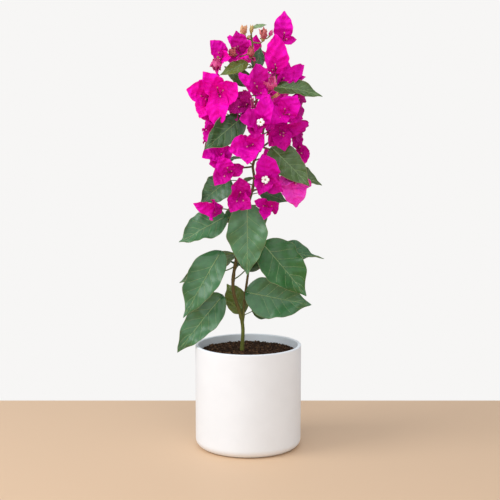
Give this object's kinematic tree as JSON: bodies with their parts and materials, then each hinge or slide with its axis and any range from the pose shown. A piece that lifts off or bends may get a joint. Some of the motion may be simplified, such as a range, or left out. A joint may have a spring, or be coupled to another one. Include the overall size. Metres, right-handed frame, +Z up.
{
  "type": "potted plant",
  "caption": "Young bougainvillea in a plain white cylinder pot: slim woody stem, large heart-shaped leaves low down, and sprays of papery magenta blooms above.",
  "frame": {"origin": "middle of the pot's flat underside", "axes": "+Z up along the pot's axis, +X to the right and +Y to the back as the plant is seen from its front"},
  "size_m": [0.1793, 0.1332, 0.5304],
  "materials": {
    "pot": "satin",
    "soil": "matte",
    "bark": "matte",
    "leaf": "satin",
    "bloom": "matte"
  },
  "bodies": {
    "root": {"pot": "pot", "potting_soil": "soil", "main_stem": "bark", "side_stem": "bark", "bough_left_high": "bark", "bough_left_low": "bark", "bough_right_high": "bark", "bough_right_low": "bark", "bough_right_middle": "bark", "bough_top_left": "bark", "bough_top_right": "bark", "leaf_back_centre": "leaf", "leaf_back_left": "leaf", "leaf_back_low": "leaf", "leaf_back_shoulder": "leaf", "leaf_behind_centre": "leaf", "leaf_behind_low": "leaf", "leaf_front": "leaf", "leaf_left_crown": "leaf", "leaf_left_foot": "leaf", "leaf_left_hidden": "leaf", "leaf_left_long": "leaf", "leaf_left_middle": "leaf", "leaf_left_shoulder": "leaf", "leaf_left_small": "leaf", "leaf_right_behind": "leaf", "leaf_right_high": "leaf", "leaf_right_low": "leaf", "leaf_right_lower": "leaf", "leaf_right_middle": "leaf", "leaf_right_shoulder": "leaf", "leaf_right_tip": "leaf", "leaf_right_under": "leaf", "leaf_top_centre": "leaf", "leaf_top_left": "leaf", "leaf_top_under": "leaf", "spray_back_1": "bloom", "spray_back_2": "bloom", "spray_back_3": "bloom", "spray_back_4": "bloom", "spray_back_5": "bloom", "spray_back_top": "bloom", "spray_centre": "bloom", "spray_centre_high": "bloom", "spray_centre_low": "bloom", "spray_front_low": "bloom", "spray_left_high": "bloom", "spray_left_low": "bloom", "spray_left_middle": "bloom", "spray_lowest_left": "bloom", "spray_lowest_right": "bloom", "spray_right_front": "bloom", "spray_right_high": "bloom", "spray_right_low": "bloom", "spray_right_middle": "bloom", "spray_right_outer": "bloom", "spray_tip": "bloom", "spray_top_left": "bloom", "spray_top_right": "bloom"}
  },
  "joints": []
}
